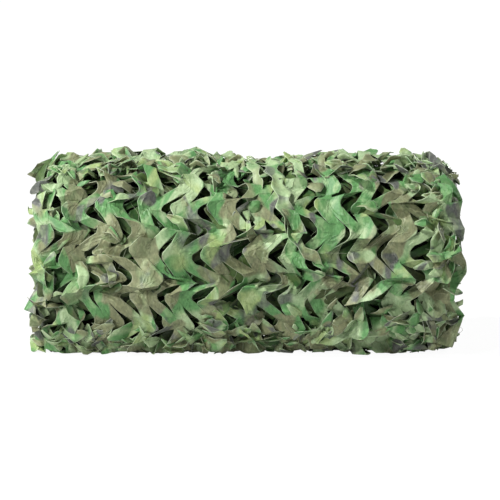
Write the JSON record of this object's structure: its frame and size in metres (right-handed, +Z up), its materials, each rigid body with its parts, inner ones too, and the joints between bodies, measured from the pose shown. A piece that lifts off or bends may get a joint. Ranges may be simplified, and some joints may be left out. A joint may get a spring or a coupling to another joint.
{
  "type": "rolled camouflage netting",
  "caption": "Leaf-cut camouflage net wound into a roll that lies on its side, its loose last turn cut through and its leaves lifted.",
  "frame": {"origin": "on the surface the roll lies on, under the middle of its length and depth", "axes": "+Z up, +X along the roll's axis, -Y towards the front"},
  "size_m": [0.5484, 0.2598, 0.2451],
  "materials": {
    "leaf_cloth": "matt coated polyester, printed in woodland green, brown and grey",
    "inner_cloth": "the same matt printed polyester, in shade between the turns"
  },
  "bodies": {
    "root": {"wound_roll": "inner_cloth", "outer_turn": "leaf_cloth"}
  },
  "joints": []
}
